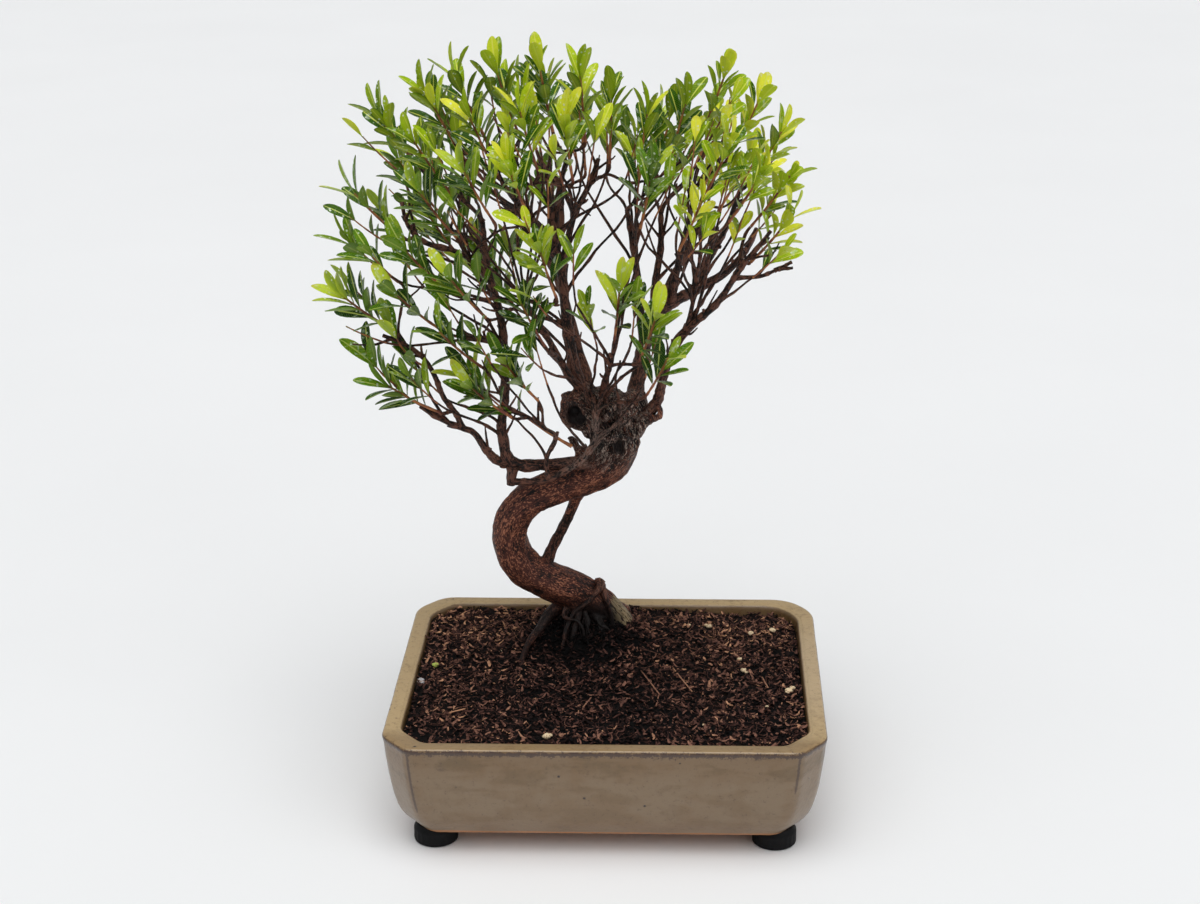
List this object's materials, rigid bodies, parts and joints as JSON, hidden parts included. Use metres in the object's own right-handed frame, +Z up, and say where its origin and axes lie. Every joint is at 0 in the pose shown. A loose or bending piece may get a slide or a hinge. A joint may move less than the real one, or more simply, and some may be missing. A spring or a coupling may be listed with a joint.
{
  "type": "chinese myrtle bonsai",
  "caption": "Chinese myrtle bonsai with an S-shaped trunk, a burl and an open rounded crown of small oval leaves, standing in soil in a rectangular glazed pot on plug feet.",
  "frame": {"origin": "centre of the whole object's box at the level of the feet's undersides", "axes": "+Z up, -Y towards the long front side of the pot, +X to the right of it"},
  "size_m": [0.3038, 0.2408, 0.4654],
  "materials": {
    "glaze": "satin olive-tan glaze, darker brown where it breaks over edges",
    "rubber": "matte black",
    "plastic": "matte black mesh",
    "soil": "dark, crumbly, fibrous peat",
    "bark": "rough flaky reddish-brown bark",
    "mature_leaf": "satin dark green",
    "young_leaf": "satin lime green"
  },
  "bodies": {
    "root": {"pot": "glaze", "pot_foot_front_left": "rubber", "pot_foot_front_right": "rubber", "pot_foot_back_left": "rubber", "pot_foot_back_right": "rubber", "drain_mesh_left": "plastic", "drain_mesh_right": "plastic", "soil": "soil", "trunk": "bark", "leafy_spray_01": "mature_leaf", "leafy_spray_02": "mature_leaf", "leafy_spray_03": "mature_leaf", "leafy_spray_04": "mature_leaf", "leafy_spray_05": "young_leaf", "leafy_spray_06": "mature_leaf", "leafy_spray_07": "mature_leaf", "leafy_spray_08": "mature_leaf", "leafy_spray_09": "young_leaf", "leafy_spray_10": "young_leaf", "leafy_spray_11": "young_leaf", "leafy_spray_12": "mature_leaf", "leafy_spray_13": "mature_leaf", "leafy_spray_14": "mature_leaf", "leafy_spray_15": "mature_leaf", "leafy_spray_16": "mature_leaf", "leafy_spray_17": "young_leaf", "leafy_spray_18": "mature_leaf", "leafy_spray_19": "mature_leaf", "leafy_spray_20": "mature_leaf", "leafy_spray_21": "mature_leaf", "leafy_spray_22": "young_leaf", "leafy_spray_23": "young_leaf", "leafy_spray_24": "young_leaf", "leafy_spray_25": "young_leaf", "leafy_spray_26": "young_leaf", "leafy_spray_27": "young_leaf", "leafy_spray_28": "young_leaf", "leafy_spray_29": "young_leaf", "leafy_spray_30": "mature_leaf", "leafy_spray_31": "mature_leaf", "leafy_spray_32": "mature_leaf", "leafy_spray_33": "mature_leaf", "leafy_spray_34": "mature_leaf", "leafy_spray_35": "mature_leaf", "leafy_spray_36": "mature_leaf", "leafy_spray_37": "young_leaf", "leafy_spray_38": "young_leaf", "leafy_spray_39": "young_leaf", "leafy_spray_40": "young_leaf", "leafy_spray_41": "young_leaf", "leafy_spray_42": "young_leaf", "leafy_spray_43": "young_leaf", "leafy_spray_44": "young_leaf", "leafy_spray_45": "young_leaf", "leafy_spray_46": "young_leaf", "leafy_spray_47": "young_leaf", "leafy_spray_48": "mature_leaf", "leafy_spray_49": "mature_leaf", "leafy_spray_50": "young_leaf", "leafy_spray_51": "young_leaf"}
  },
  "joints": []
}
